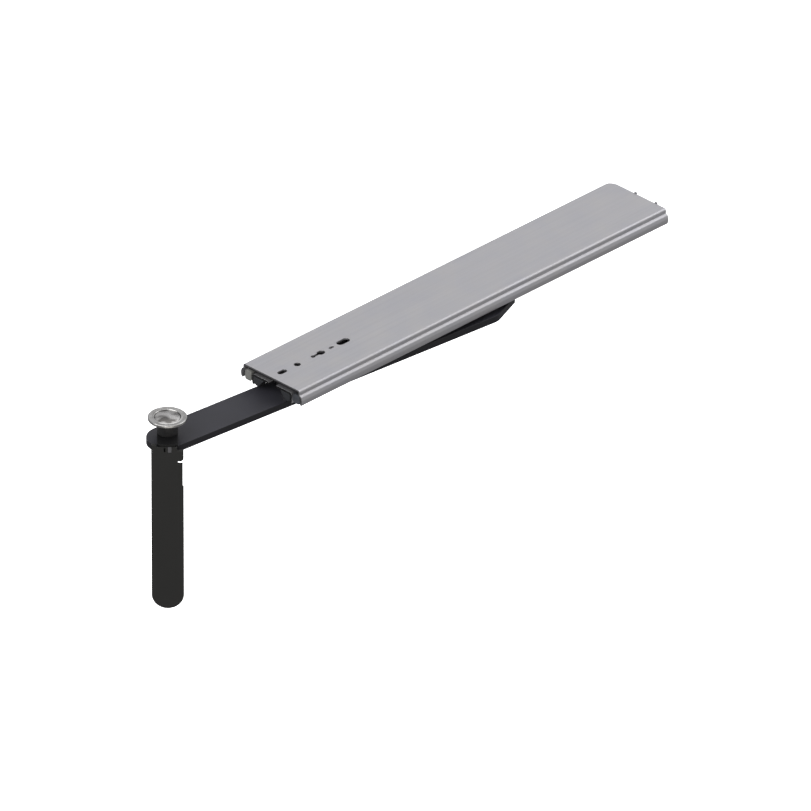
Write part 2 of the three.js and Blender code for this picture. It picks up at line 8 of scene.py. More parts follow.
import bmesh
import bpy
from mathutils import Matrix, Vector
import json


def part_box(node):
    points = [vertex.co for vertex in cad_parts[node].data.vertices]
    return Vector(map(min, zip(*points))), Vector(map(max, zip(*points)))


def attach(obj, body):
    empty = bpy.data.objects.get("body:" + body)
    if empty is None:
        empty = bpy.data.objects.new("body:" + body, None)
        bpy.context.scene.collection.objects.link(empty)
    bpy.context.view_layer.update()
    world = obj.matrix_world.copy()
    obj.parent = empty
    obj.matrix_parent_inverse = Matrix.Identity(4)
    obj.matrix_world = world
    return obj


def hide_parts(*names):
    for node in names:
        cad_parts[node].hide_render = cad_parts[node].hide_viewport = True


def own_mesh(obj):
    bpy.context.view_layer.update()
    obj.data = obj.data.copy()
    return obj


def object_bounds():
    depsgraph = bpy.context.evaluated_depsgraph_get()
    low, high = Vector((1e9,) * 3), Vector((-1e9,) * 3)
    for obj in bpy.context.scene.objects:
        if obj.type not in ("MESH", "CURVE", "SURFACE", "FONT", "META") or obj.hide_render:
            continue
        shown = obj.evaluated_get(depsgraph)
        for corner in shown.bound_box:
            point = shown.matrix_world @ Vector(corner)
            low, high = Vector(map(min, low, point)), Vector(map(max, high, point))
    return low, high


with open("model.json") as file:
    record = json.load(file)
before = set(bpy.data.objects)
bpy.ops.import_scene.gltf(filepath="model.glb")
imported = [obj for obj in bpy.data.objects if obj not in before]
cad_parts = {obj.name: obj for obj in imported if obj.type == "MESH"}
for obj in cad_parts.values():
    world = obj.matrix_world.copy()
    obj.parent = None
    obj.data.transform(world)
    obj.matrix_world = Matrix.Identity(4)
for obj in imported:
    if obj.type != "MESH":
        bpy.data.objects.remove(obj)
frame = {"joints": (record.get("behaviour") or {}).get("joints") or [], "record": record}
CAD_LOW, CAD_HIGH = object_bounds()
MM = 0.001

# ---------- Camera ----------

VIEW_AZIMUTH = math.radians(45)
VIEW_ELEVATION = math.radians(30)
LENS = 1500
SENSOR = 36
VIEW_WIDTH = 0.713316  # how much of the scene the picture spans
AIM_FROM_MOUNT = Vector((26.69, -88.99, -74.8)) * MM  # where the camera aims, from the cabinet face's middle

mounts = {mount["name"]: mount for mount in frame["record"]["mounts"]}
cabinet_face = Vector(mounts["cabinet_face"]["pos_m"])

centre = (CAD_LOW + CAD_HIGH) / 2
away = Vector(
    (
        math.sin(VIEW_AZIMUTH) * math.cos(VIEW_ELEVATION),
        -math.cos(VIEW_AZIMUTH) * math.cos(VIEW_ELEVATION),
        math.sin(VIEW_ELEVATION),
    )
)
camera = bpy.data.objects.new("camera", bpy.data.cameras.new("camera"))
camera.data.lens = LENS
camera.data.sensor_width = SENSOR
distance = VIEW_WIDTH * LENS / SENSOR
camera.location = cabinet_face + AIM_FROM_MOUNT + away * distance
camera.rotation_mode = "QUATERNION"
camera.rotation_quaternion = away.to_track_quat("Z", "Y")
camera.data.clip_start = 1.0
camera.data.clip_end = distance * 2
bpy.context.scene.collection.objects.link(camera)
bpy.context.scene.camera = camera
bpy.context.scene.view_settings.view_transform = "Standard"

# ---------- Mesh helpers ----------

FINE_STEP = math.pi / 24  # the arc between two points of a rounded corner
ROUND, SMALL_ROUND, CAP_ROUND = 96, 48, 128  # sides of round pieces
TINY = 0.01  # keeps round ends from closing on themselves and cuts from just touching
PAST = 1  # how far a cutting solid reaches past what it cuts


def rounded(corners, closed=True, step=FINE_STEP):
    """Rounds the corners of an outline. Each corner is (x, y) or (x, y, radius)."""
    points = []
    count = len(corners)
    for i, (x, y, *rest) in enumerate(corners):
        corner = Vector((x, y))
        radius = rest[0] if rest else 0
        if radius == 0 or (not closed and i in (0, count - 1)):
            points.append(corner)
            continue
        before = (Vector(corners[i - 1][:2]) - corner).normalized()
        after = (Vector(corners[(i + 1) % count][:2]) - corner).normalized()
        half = before.angle(after) / 2
        middle = corner + (before + after).normalized() * (radius / math.sin(half))
        start = corner + before * (radius / math.tan(half)) - middle
        end = corner + after * (radius / math.tan(half)) - middle
        sweep = math.atan2(start.cross(end), start.dot(end))
        steps = max(3, math.ceil(abs(sweep) / step))
        for k in range(steps + 1):
            turn = Matrix.Rotation(sweep * k / steps, 2)
            points.append(middle + turn @ start)
    return points


def sheet_outline(half_path, thickness):
    """The closed section of a folded sheet, from the right half of its middle line, web first."""
    left = [(-x, z, *rest) for x, z, *rest in reversed(half_path)]
    path = rounded(left + list(half_path), closed=False)
    normals = []
    for a, b in zip(path, path[1:]):
        along = (b - a).normalized()
        normals.append(Vector((-along.y, along.x)))
    above, below = [], []
    for i, point in enumerate(path):
        first = normals[max(i - 1, 0)]
        second = normals[min(i, len(normals) - 1)]
        middle = (first + second).normalized()
        reach = middle * (thickness / 2 / middle.dot(first))
        above.append(point + reach)
        below.append(point - reach)
    return above + below[::-1]


def prism(points, low, high, axis="Z"):
    """An outline drawn out from low to high along axis. It lies in the other two axes, in their order."""
    bm = bmesh.new()

    def at(point, height):
        if axis == "Y":
            return (point.x, height, point.y)
        if axis == "X":
            return (height, point.x, point.y)
        return (point.x, point.y, height)

    bottom = [bm.verts.new(at(p, low)) for p in points]
    top = [bm.verts.new(at(p, high)) for p in points]
    bm.faces.new(bottom)
    bm.faces.new(top)
    for i in range(len(points)):
        j = (i + 1) % len(points)
        bm.faces.new((bottom[i], bottom[j], top[j], top[i]))
    bmesh.ops.recalc_face_normals(bm, faces=bm.faces)
    return bm


def lathe(profile, segments=ROUND, centre_at=(0, 0)):
    """A solid of revolution about Z. profile is a closed line of (radius, height) corners."""
    bm = bmesh.new()
    rings = []
    for radius, height in profile:
        if radius < 1e-6:
            rings.append([bm.verts.new((centre_at[0], centre_at[1], height))])
            continue
        around = []
        for k in range(segments):
            angle = 2 * math.pi * k / segments
            x = centre_at[0] + radius * math.cos(angle)
            y = centre_at[1] + radius * math.sin(angle)
            around.append(bm.verts.new((x, y, height)))
        rings.append(around)
    for a, b in zip(rings, rings[1:] + rings[:1]):
        if len(a) == 1 and len(b) == 1:
            continue
        for k in range(segments):
            n = (k + 1) % segments
            corners = [a[k % len(a)], a[n % len(a)], b[n % len(b)], b[k % len(b)]]
            unique = list(dict.fromkeys(corners))
            bm.faces.new(unique)
    bmesh.ops.recalc_face_normals(bm, faces=bm.faces)
    return bm


def cylinder(radius, low, high, x=0, y=0):
    return lathe([(0, low), (radius, low), (radius, high), (0, high)], SMALL_ROUND, (x, y))


def ring(outer, inner, low, high, chamfer=0.2, segments=ROUND):
    """A ring with its outer edges chamfered."""
    return lathe(
        [
            (inner, low),
            (outer - chamfer, low),
            (outer, low + chamfer),
            (outer, high - chamfer),
            (outer - chamfer, high),
            (inner, high),
        ],
        segments,
    )


def rectangle(left, bottom, right, top, radius=0, step=FINE_STEP):
    corners = [(left, bottom, radius), (right, bottom, radius), (right, top, radius), (left, top, radius)]
    return rounded(corners, step=step)


def box_solid(low, high):
    return prism(rectangle(low[0], low[1], high[0], high[1]), low[2], high[2])


def slot_points(y, width, length):
    """The outline of a slot along Y with full-round ends."""
    across, along = width / 2, length / 2
    return rectangle(-across, y - along, across, y + along, across - TINY, math.pi / 16)


def circle_points(radius, x, y, count=32):
    angles = [2 * math.pi * k / count for k in range(count)]
    return [Vector((x + radius * math.cos(a), y + radius * math.sin(a))) for a in angles]


def mesh_from(bm, name="scratch"):
    mesh = bpy.data.meshes.new(name)
    bm.to_mesh(mesh)
    bm.free()
    return mesh


def combine(bm, others, operation="DIFFERENCE"):
    """Cuts the other solids from bm, or joins them to it, and gives a new bmesh."""
    base = bpy.data.objects.new("scratch_base", mesh_from(bm))
    bpy.context.scene.collection.objects.link(base)
    tools = []
    for other in others:
        tool = bpy.data.objects.new("scratch_tool", mesh_from(other))
        bpy.context.scene.collection.objects.link(tool)
        tools.append(tool)
        modifier = base.modifiers.new("cut", "BOOLEAN")
        modifier.operation = operation
        modifier.solver = "EXACT"
        modifier.object = tool
    graph = bpy.context.evaluated_depsgraph_get()
    mesh = bpy.data.meshes.new_from_object(base.evaluated_get(graph), depsgraph=graph)
    result = bmesh.new()
    result.from_mesh(mesh)
    for scratch in [base, *tools]:
        data = scratch.data
        bpy.data.objects.remove(scratch)
        bpy.data.meshes.remove(data)
    bpy.data.meshes.remove(mesh)
    bmesh.ops.remove_doubles(result, verts=result.verts, dist=1e-4)
    return result


def piece(name, bm, look, body, nodes=(), place=None, bevel=0.15, segments=2, angle=35):
    """Makes bm a smooth-shaded piece with rounded edges that rides on body and stands for nodes."""
    bm.transform(Matrix.Scale(MM, 4) @ (place or Matrix()))
    bmesh.ops.recalc_face_normals(bm, faces=bm.faces)
    for face in bm.faces:
        face.smooth = True
    mesh = mesh_from(bm, name)
    mesh.materials.append(looks[look])
    obj = bpy.data.objects.new(name, mesh)
    bpy.context.scene.collection.objects.link(obj)
    if bevel:
        rounding = obj.modifiers.new("edges", "BEVEL")
        rounding.width = bevel * MM
        rounding.segments = segments
        rounding.limit_method = "ANGLE"
        rounding.angle_limit = math.radians(angle)
        rounding.use_clamp_overlap = False
        rounding.miter_outer = "MITER_ARC"
    shading = obj.modifiers.new("shading", "WEIGHTED_NORMAL")
    shading.keep_sharp = True
    shading.weight = 60
    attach(obj, body)
    if nodes:
        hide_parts(*nodes)
    return obj


def box_mm(node):
    low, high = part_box(node)
    return low / MM, high / MM


# ---------- Materials ----------

PER_MM = 1 / MM  # texture scales are written per millimetre


class Look:
    """A material under construction, with the few node patterns that the finishes share."""

    def __init__(self, name, metallic=0.0, specular=0.5):
        self.material = bpy.data.materials.new(name)
        self.material.use_nodes = True
        self.tree = self.material.node_tree
        self.tree.nodes.clear()
        self.shader = self.add("ShaderNodeBsdfPrincipled")
        self.shader.inputs["Metallic"].default_value = metallic
        self.shader.inputs["Specular IOR Level"].default_value = specular
        output = self.add("ShaderNodeOutputMaterial")
        self.tree.links.new(self.shader.outputs[0], output.inputs["Surface"])
        self.place = self.add("ShaderNodeTexCoord").outputs["Object"]
        self.normal = None

    def add(self, kind, inputs=None, **settings):
        node = self.tree.nodes.new(kind)
        for key, value in settings.items():
            setattr(node, key, value)
        for key, value in (inputs or {}).items():
            self.put(node.inputs[key], value)
        return node

    def put(self, socket, value):
        if isinstance(value, bpy.types.NodeSocket):
            self.tree.links.new(value, socket)
        else:
            socket.default_value = value

    def noise(self, scale, detail=3.0, roughness=0.5, origin=(0, 0, 0), turn=0.0):
        """Noise from 0 to 1. scale is per millimetre, one number or one for each axis."""
        size = scale if isinstance(scale, tuple) else (scale, scale, scale)
        shifted = self.add("ShaderNodeVectorMath", {0: self.place, 1: tuple(-v * MM for v in origin)})
        turned = self.add("ShaderNodeMapping", {"Vector": shifted.outputs[0], "Rotation": (0, 0, turn)})
        scaled = self.add(
            "ShaderNodeMapping", {"Vector": turned.outputs[0], "Scale": tuple(v * PER_MM for v in size)}
        )
        texture = self.add(
            "ShaderNodeTexNoise",
            {"Vector": scaled.outputs[0], "Scale": 1.0, "Detail": detail, "Roughness": roughness},
        )
        return texture.outputs[0]

    def cells(self, scale):
        scaled = self.add("ShaderNodeMapping", {"Vector": self.place, "Scale": (scale * PER_MM,) * 3})
        texture = self.add("ShaderNodeTexVoronoi", {"Vector": scaled.outputs[0], "Scale": 1.0})
        return texture.outputs["Distance"]

    def facing(self, axis, low, high):
        """How far a face looks along an axis: 0 up to low and 1 from high, or the other way round."""
        normal = self.add("ShaderNodeNewGeometry").outputs["True Normal"]
        parts = self.add("ShaderNodeSeparateXYZ", {0: normal})
        return self.span(self.math("ABSOLUTE", parts.outputs[axis]), low, high)

    def rings(self, axis, scale):
        """Fine rings about a vertical axis, as turning leaves them. axis is (x, y) in millimetres."""
        shifted = self.add("ShaderNodeVectorMath", {0: self.place, 1: (-axis[0] * MM, -axis[1] * MM, 0)})
        flat = self.add("ShaderNodeVectorMath", {0: shifted.outputs[0], 1: (1, 1, 0)}, operation="MULTIPLY")
        length = self.add("ShaderNodeVectorMath", {0: flat.outputs[0]}, operation="LENGTH")
        along = self.math("MULTIPLY", length.outputs["Value"], scale * PER_MM)
        inputs = {"W": along, "Scale": 1.0, "Detail": 3.0}
        return self.add("ShaderNodeTexNoise", inputs, noise_dimensions="1D").outputs[0]

    def math(self, operation, a, b=0.0):
        return self.add("ShaderNodeMath", {0: a, 1: b}, operation=operation).outputs[0]

    def blend(self, a, share, b):
        """a with share of the way to b, both numbers."""
        return self.math("ADD", self.math("MULTIPLY", a, 1 - share), self.math("MULTIPLY", b, share))

    def span(self, value, low, high, to_low=0.0, to_high=1.0):
        """Maps low..high of value to to_low..to_high, and stops at the ends."""
        names = {"Value": value, "From Min": low, "From Max": high, "To Min": to_low, "To Max": to_high}
        return self.add("ShaderNodeMapRange", names).outputs[0]

    def mix(self, share, a, b):
        node = self.add("ShaderNodeMix", data_type="RGBA")
        self.put(node.inputs["Factor"], share)
        for socket, value in ((node.inputs[6], a), (node.inputs[7], b)):
            self.put(socket, value if isinstance(value, bpy.types.NodeSocket) else (*value, 1.0))
        return node.outputs[2]

    def edges(self, width, low=0.02, high=0.25):
        """1 on sharp edges within width (in millimetres), 0 on open faces."""
        wide = self.add("ShaderNodeBevel", {"Radius": width * MM}, samples=4)
        flat = self.add("ShaderNodeNewGeometry").outputs["Normal"]
        turn = self.add("ShaderNodeVectorMath", {0: wide.outputs[0], 1: flat}, operation="DOT_PRODUCT")
        return self.span(self.math("SUBTRACT", 1.0, turn.outputs["Value"]), low, high)

    def bump(self, height, depth, strength):
        """Adds a bump of depth millimetres."""
        inputs = {"Height": height, "Distance": depth * MM, "Strength": strength}
        if self.normal is not None:
            inputs["Normal"] = self.normal
        self.normal = self.add("ShaderNodeBump", inputs).outputs[0]

    def finish(self, colour, roughness):
        self.put(self.shader.inputs["Base Color"], colour)
        self.put(self.shader.inputs["Roughness"], roughness)
        if self.normal is not None:
            self.put(self.shader.inputs["Normal"], self.normal)
        return self.material


ZINC_FRONT, ZINC_REAR = -228, 228  # painted light: the zinc is painted a little brighter towards the rear
ZINC_PAINTED_LIGHT = 0.08


def rolled_zinc(name, dull_and_painted_shade):
    """Bright zinc on rolled strip: fine lines along it, cloudy plating, rubbed edges, dull cut ends, and
    painted light that lifts the colour a little towards the rear.
    """
    look = Look(name, metallic=0.9)
    lines = look.noise((3.2, 0.012, 3.2), detail=4.0, roughness=0.6)
    broad = look.noise((0.35, 0.004, 0.35), detail=2.0)
    cloud = look.noise(0.035, detail=5.0, roughness=0.6)
    grain = look.noise(5.0, detail=2.0)
    tone = look.span(look.blend(lines, 0.4, broad), 0.35, 0.65)
    cool = look.mix(tone, (0.365, 0.365, 0.387), (0.41, 0.408, 0.424))
    warm = look.mix(tone, (0.378, 0.372, 0.381), (0.424, 0.418, 0.42))
    plated = look.mix(look.span(cloud, 0.38, 0.66), cool, warm)
    # painted light: the colour is lifted towards pale grey from the front to the rear
    along = look.add("ShaderNodeSeparateXYZ", {0: look.place}).outputs["Y"]
    painted_light_to_rear = look.span(along, ZINC_FRONT * MM, ZINC_REAR * MM, 0, ZINC_PAINTED_LIGHT)
    body = look.mix(painted_light_to_rear, plated, (0.9, 0.89, 0.93))
    rubbed = look.math("MULTIPLY", look.edges(0.5), look.span(grain, 0.3, 0.7, 0.35, 0.9))
    cut_end = look.facing("Y", 0.85, 0.95)
    plated_edges = look.mix(rubbed, body, (0.5, 0.5, 0.51))
    # the cut ends take the flat tone passed in: dull grey on the outer member, and near black on the hidden
    # members, where it is painted shade for the recess they sit in
    colour = look.mix(cut_end, plated_edges, (dull_and_painted_shade, dull_and_painted_shade, dull_and_painted_shade * 1.05))
    clouded = look.span(cloud, 0.3, 0.7, -0.03, 0.04)
    roughness = look.math("ADD", look.span(lines, 0.3, 0.7, 0.48, 0.56), clouded)
    look.bump(lines, 0.006, 0.5)
    look.bump(grain, 0.004, 0.35)
    return look.finish(colour, roughness)


def strip_steel():
    """Plain cold-rolled strip with an oily film, as ball cages are pressed from."""
    look = Look("strip_steel", metallic=1.0)
    lines = look.noise((4.0, 0.02, 4.0), detail=3.0)
    film = look.noise(0.08, detail=4.0)
    colour = look.mix(look.span(film, 0.35, 0.65), (0.30, 0.30, 0.305), (0.40, 0.39, 0.375))
    oily = look.span(film, 0.3, 0.7, -0.06, 0.06)
    roughness = look.math("ADD", look.span(lines, 0.3, 0.7, 0.28, 0.38), oily)
    look.bump(lines, 0.005, 0.4)
    return look.finish(colour, roughness)


def turned_steel():
    """Turned and lightly oiled steel."""
    look = Look("turned_steel", metallic=1.0)
    cut = look.noise((0.6, 0.6, 7.0), detail=3.0)
    film = look.noise(0.25, detail=4.0)
    worn = look.edges(0.35)
    body = look.mix(look.span(film, 0.35, 0.65), (0.33, 0.33, 0.335), (0.43, 0.42, 0.41))
    colour = look.mix(look.math("MULTIPLY", worn, 0.6), body, (0.62, 0.61, 0.6))
    oily = look.span(film, 0.3, 0.7, -0.05, 0.07)
    roughness = look.math("ADD", look.span(cut, 0.3, 0.7, 0.26, 0.36), oily)
    look.bump(cut, 0.004, 0.4)
    return look.finish(colour, roughness)


def hard_balls():
    """Ground and hardened balls with a trace of grease."""
    look = Look("hard_balls", metallic=1.0)
    film = look.noise(0.6, detail=3.0)
    colour = look.mix(look.span(film, 0.4, 0.65), (0.62, 0.62, 0.63), (0.5, 0.48, 0.43))
    return look.finish(colour, look.span(film, 0.35, 0.7, 0.07, 0.24))


def black_coat(name, tint, shine, fleck, sides=1.0):
    """Satin black coating with orange peel and rubbed edges.

    Flat faces are dusty, and upright ones are plain, at sides times the tint: a sides below 1 is painted
    shade that makes the upright faces darker than the top.
    """
    look = Look(name, specular=shine)
    peel = look.noise(1.1, detail=2.0, roughness=0.45)
    cloud = look.noise(0.03, detail=4.0, roughness=0.6)
    dust = look.noise(2.6, detail=4.0, roughness=0.7)
    bright = tuple(v * 1.35 for v in tint)
    body = look.mix(look.span(cloud, 0.35, 0.65), tint, bright)
    dusty = look.mix(look.span(dust, 0.6, 0.8, 0.0, fleck), body, (0.09, 0.088, 0.085))
    patchy = look.span(look.noise(0.22, detail=3.0), 0.45, 0.7)
    rubbed = look.math("MULTIPLY", look.edges(0.45, 0.04, 0.3), look.math("MULTIPLY", patchy, 0.55))
    # upright faces lose the dust and take sides times the tint, which is painted shade where sides is below 1
    dull_and_painted_shade = look.mix(look.facing("Z", 0.8, 0.3), dusty, tuple(v * sides for v in tint))
    colour = look.mix(rubbed, dull_and_painted_shade, (0.11, 0.11, 0.115))
    dulled = look.span(dust, 0.3, 0.8, -0.02, 0.08)
    roughness = look.math("ADD", look.span(cloud, 0.3, 0.7, 0.44, 0.52), dulled)
    look.bump(peel, 0.02, 0.35)
    return look.finish(colour, roughness)


def polished_stainless(name, axis, patches, metal, dark):
    """Polished stainless: rings from turning, darker patches and a few hairline rubs."""
    look = Look(name, metallic=1.0)
    rings = look.rings(axis, 5.0)
    smudge = look.noise(patches, detail=2.5, roughness=0.5, origin=(*axis, 0))
    rubs = look.noise((0.3, 6.0, 0.3), detail=3.0, origin=(*axis, 0), turn=math.radians(35))
    worn = look.edges(0.4)
    body = look.mix(look.span(smudge, 0.42, 0.6), metal, dark)
    colour = look.mix(look.math("MULTIPLY", worn, 0.5), body, (0.6, 0.59, 0.58))
    base = look.span(rings, 0.3, 0.7, 0.2, 0.28)
    film = look.span(smudge, 0.35, 0.75, -0.03, 0.1)
    hair = look.span(rubs, 0.62, 0.72, 0.0, 0.08)
    roughness = look.math("ADD", look.math("ADD", base, film), hair)
    look.bump(rings, 0.004, 0.35)
    return look.finish(colour, roughness)


def moulded(name, tint, pale):
    """A moulded or tumbled finish: fine grain, flow clouds and paler rubbed corners."""
    look = Look(name, specular=0.4)
    grain = look.noise(6.0, detail=2.0)
    flow = look.noise((0.12, 0.05, 0.2), detail=4.0)
    body = look.mix(look.span(flow, 0.35, 0.65), tint, tuple(v * 1.25 for v in tint))
    colour = look.mix(look.math("MULTIPLY", look.edges(0.4), 0.5), body, pale)
    roughness = look.span(grain, 0.3, 0.7, 0.46, 0.6)
    look.bump(grain, 0.012, 0.4)
    return look.finish(colour, roughness)


def moulded_rubber():
    """Black rubber with a grey bloom and a fine texture."""
    look = Look("moulded_rubber", specular=0.3)
    bloom = look.noise(0.3, detail=5.0, roughness=0.65)
    grain = look.noise(4.0, detail=3.0)
    colour = look.mix(look.span(bloom, 0.4, 0.75), (0.012, 0.012, 0.012), (0.045, 0.044, 0.042))
    look.bump(grain, 0.02, 0.5)
    return look.finish(colour, look.span(bloom, 0.3, 0.7, 0.7, 0.88))


def sintered_bronze():
    """Oil-filled sintered bronze with open pores."""
    look = Look("sintered_bronze", metallic=0.9)
    pores = look.span(look.cells(4.0), 0.15, 0.45)
    film = look.noise(0.4, detail=4.0)
    body = look.mix(look.span(film, 0.35, 0.65), (0.36, 0.24, 0.11), (0.5, 0.35, 0.17))
    colour = look.mix(pores, (0.12, 0.08, 0.04), body)
    look.bump(pores, 0.02, 0.5)
    return look.finish(colour, look.span(film, 0.3, 0.7, 0.34, 0.5))


FLOOR_GLOW = 0.75


def pale_floor():
    """A plain pale studio floor that only shows from above."""
    look = Look("pale_floor", specular=0.1)
    cloud = look.noise(0.004, detail=3.0)
    colour = look.mix(cloud, (0.93, 0.93, 0.93), (0.96, 0.96, 0.96))
    look.shader.inputs["Emission Color"].default_value = (1, 1, 1, 1)
    look.shader.inputs["Emission Strength"].default_value = FLOOR_GLOW
    above = look.math("SUBTRACT", 1.0, look.add("ShaderNodeNewGeometry").outputs["Backfacing"])
    look.put(look.shader.inputs["Alpha"], above)
    return look.finish(colour, look.span(cloud, 0.3, 0.7, 0.85, 0.95))


joints = {joint["name"]: joint for joint in frame["joints"]}
pivot = Vector(joints["arm_swing"]["pos_m"]) / MM
post = Vector(joints["handle_turn"]["pos_m"]) / MM
post_axis = (post.x, post.y)
paddle_normal = Vector(mounts["paddle_face"]["axis"])

RIM_METAL, RIM_DARK = (0.47, 0.465, 0.455), (0.33, 0.325, 0.315)
DOME_METAL, DOME_DARK = (0.52, 0.51, 0.5), (0.12, 0.115, 0.11)
looks = {
    "rolled_zinc": rolled_zinc("rolled_zinc", 0.15),
    # the hidden members' zinc: the same zinc with near-black cut ends, painted shade for the dark recess
    # inside the outer member
    "hidden_zinc_painted_shade": rolled_zinc("hidden_zinc_painted_shade", 0.035),
    "strip_steel": strip_steel(),
    "turned_steel": turned_steel(),
    "hard_balls": hard_balls(),
    # the 0.5 paints the arm's upright sides at half the tint, as painted shade
    "arm_coat": black_coat("arm_coat", (0.0163, 0.0162, 0.0208), 0.28, 0.5, 0.5),
    "post_coat": black_coat("post_coat", (0.0145, 0.0145, 0.015), 0.3, 0.2),
    # the foot's coat is the post's black coat made darker: painted shade for the shadow at the post's base
    "foot_coat_painted_shade": black_coat("foot_coat_painted_shade", (0.005, 0.005, 0.0053), 0.15, 0.2),
    "paddle_coat": black_coat("paddle_coat", (0.0118, 0.0118, 0.0112), 0.25, 0.35),
    "dull_steel": moulded("dull_steel", (0.058, 0.058, 0.062), (0.12, 0.12, 0.125)),
    "polished_stainless": polished_stainless("polished_stainless", post_axis, 0.16, RIM_METAL, RIM_DARK),
    "polished_dome": polished_stainless("polished_dome", post_axis, 0.085, DOME_METAL, DOME_DARK),
    "guide_acetal": moulded("guide_acetal", (0.02, 0.021, 0.024), (0.05, 0.052, 0.056)),
    "dark_acetal": moulded("dark_acetal", (0.04, 0.043, 0.05), (0.08, 0.085, 0.095)),
    "pale_acetal": moulded("pale_acetal", (0.145, 0.145, 0.137), (0.26, 0.26, 0.25)),
    "moulded_rubber": moulded_rubber(),
    "sintered_bronze": sintered_bronze(),
}

# ---------- The slide's members ----------

# Half sections of the folded sheets at mid thickness: inset from the CAD box's side, drop from its top, and
# the radius of the bend. The web comes first.
OUTER_SHEET = 1.8
OUTER_SECTION = [
    (3.92, 0.9, 1.2),
    (3.92, 5.2, 1.05),
    (1.72, 6.3, 1.2),
    (0.82, 9.3, 4.0),
    (1.12, 12.2, 4.0),
    (2.02, 14.2, 0),
]
MIDDLE_SHEET = 1.6
MIDDLE_SECTION = [
    (1.14, 0.8, 1.6),
    (1.14, 4.0, 1.0),
    (1.64, 6.2, 2.0),
    (0.74, 9.2, 2.0),
    (1.14, 11.2, 0),
]
INNER_SHEET = 2.0
INNER_SECTION = [
    (1.0, 1.0, 1.8),
    (1.0, 4.0, 1.15),
    (1.4, 6.0, 2.0),
    (1.0, 8.0, 1.15),
    (1.7, 10.2, 0),
]
CAGE_SHEET = 0.6


def member_section(node, half_section, sheet, top=None):
    """The closed outline of a folded member, placed by its CAD node's box and, if given, by its top face."""
    low, high = box_mm(node)
    highest = high.z if top is None else top
    tightest = sheet / 2 + 0.1
    path = [(high.x - inset, highest - drop, max(radius, tightest)) for inset, drop, radius in half_section]
    return sheet_outline(path, sheet)


# Holes in the outer web: distance behind the front end, length and width
WEB_HOLES = [
    [(13.4, 10, 5.4)],
    [(32, 6.2, 6.2)],
    [(51.6, 4.2, 4.2), (55.9, 9, 2.6), (61.2, 8, 6.5)],
    [(74.2, 5.8, 2.8)],
    [(88.8, 14, 7)],
]
REAR_TAB = {"thickness": 1.1, "width": 2.6, "round": 0.6, "places": (-3.4, 22)}  # bent up at the rear edge
REAR_CORNER = {"radius": 10, "inset": 2.8}  # of the web's left rear corner
TOP_FACE = cabinet_face.z / MM
ACCESS_WINDOWS = [(8, 42), (47, 105)]  # in the intermediate web: start and end behind the slide's front
WINDOW_HALF, WINDOW_CORNER = 11, 4
FRONT_NOTCH = {"half": 5, "deep": 9}  # in the inner web
BOSS_HOLE = 6.1  # radius of the hole in the inner web for the pivot boss's spigot


def outer_member():
    low, high = box_mm("outer_member")
    rear = high.y - REAR_TAB["thickness"]
    channel = prism(member_section("outer_member", OUTER_SECTION, OUTER_SHEET, TOP_FACE), low.y, rear, "Y")
    tools = []
    underside = TOP_FACE - OUTER_SHEET
    for hole in WEB_HOLES:
        for behind, length, width in hole:
            slot = slot_points(low.y + behind, width, length)
            tools.append(prism(slot, underside - PAST, TOP_FACE + PAST))
    radius = REAR_CORNER["radius"]
    middle = Vector((low.x + REAR_CORNER["inset"] + radius, rear - radius))
    arc = [math.pi / 2 * k / 12 for k in range(13)]
    bend = [middle + (radius + 2 * TINY) * Vector((-math.cos(a), math.sin(a))) for a in arc]
    left, back = low.x - PAST, rear + PAST
    around = [Vector((left, middle.y)), *bend, Vector((middle.x, back)), Vector((left, back))]
    shape = combine(channel, [*tools, prism(around, low.z - PAST, TOP_FACE + PAST)])
    half = REAR_TAB["width"] / 2
    rooted, sunk = rear - 1, TOP_FACE - 0.2
    tab_outline = rounded(
        [
            (rooted, underside),
            (high.y, underside, REAR_TAB["round"]),
            (high.y, high.z),
            (rear, high.z),
            (rear, sunk),
            (rooted, sunk),
        ]
    )
    tabs = [prism(tab_outline, x - half, x + half, "X") for x in REAR_TAB["places"]]
    return combine(shape, tabs, "UNION")


piece("outer_channel", outer_member(), "rolled_zinc", "outer", ["outer_member"])

low, high = box_mm("intermediate_member")
section = member_section("intermediate_member", MIDDLE_SECTION, MIDDLE_SHEET)
front = box_mm("outer_member")[0].y
windows = []
for start, end in ACCESS_WINDOWS:
    outline = rectangle(-WINDOW_HALF, front + start, WINDOW_HALF, front + end, WINDOW_CORNER)
    windows.append(prism(outline, high.z - MIDDLE_SHEET - PAST, high.z + PAST))
channel = combine(prism(section, low.y, high.y, "Y"), windows)
piece("intermediate_channel", channel, "hidden_zinc_painted_shade", "intermediate", ["intermediate_member"])

low, high = box_mm("inner_member")
section = member_section("inner_member", INNER_SECTION, INNER_SHEET)
under, over = high.z - INNER_SHEET - PAST, high.z + PAST
half, deep = FRONT_NOTCH["half"], FRONT_NOTCH["deep"]
notch = box_solid((-half, low.y - PAST, under), (half, low.y + deep, over))
channel = combine(prism(section, low.y, high.y, "Y"), [cylinder(BOSS_HOLE, under, over, 0, pivot.y), notch])
piece("inner_channel", channel, "hidden_zinc_painted_shade", "inner", ["inner_member"])

# ---------- Ball cages ----------

OUTER_BALLS = {"radius": 2.6, "side": 33.4, "height": -9.6, "pitch": 24, "count": 9, "middle": 0}
INNER_BALLS = {"radius": 2.5, "side": 27.2, "height": -12.6, "pitch": 24, "count": 8, "middle": 10}
OUTER_CAGE = [(32.1, -2.6, 1), (32.1, -6.2, 0.6), (33.3, -7.4, 0.6), (33.3, -12.6, 0)]
INNER_CAGE = [(27.2, -5.8, 1), (27.2, -15.2, 0)]
CAGE_WINDOWS = {"count": 4, "rib": 10, "margin": 9, "corner": 3}  # the openings in a cage's web
BALL_POCKET = 0.98  # a ball's hole in the cage, as a share of the ball


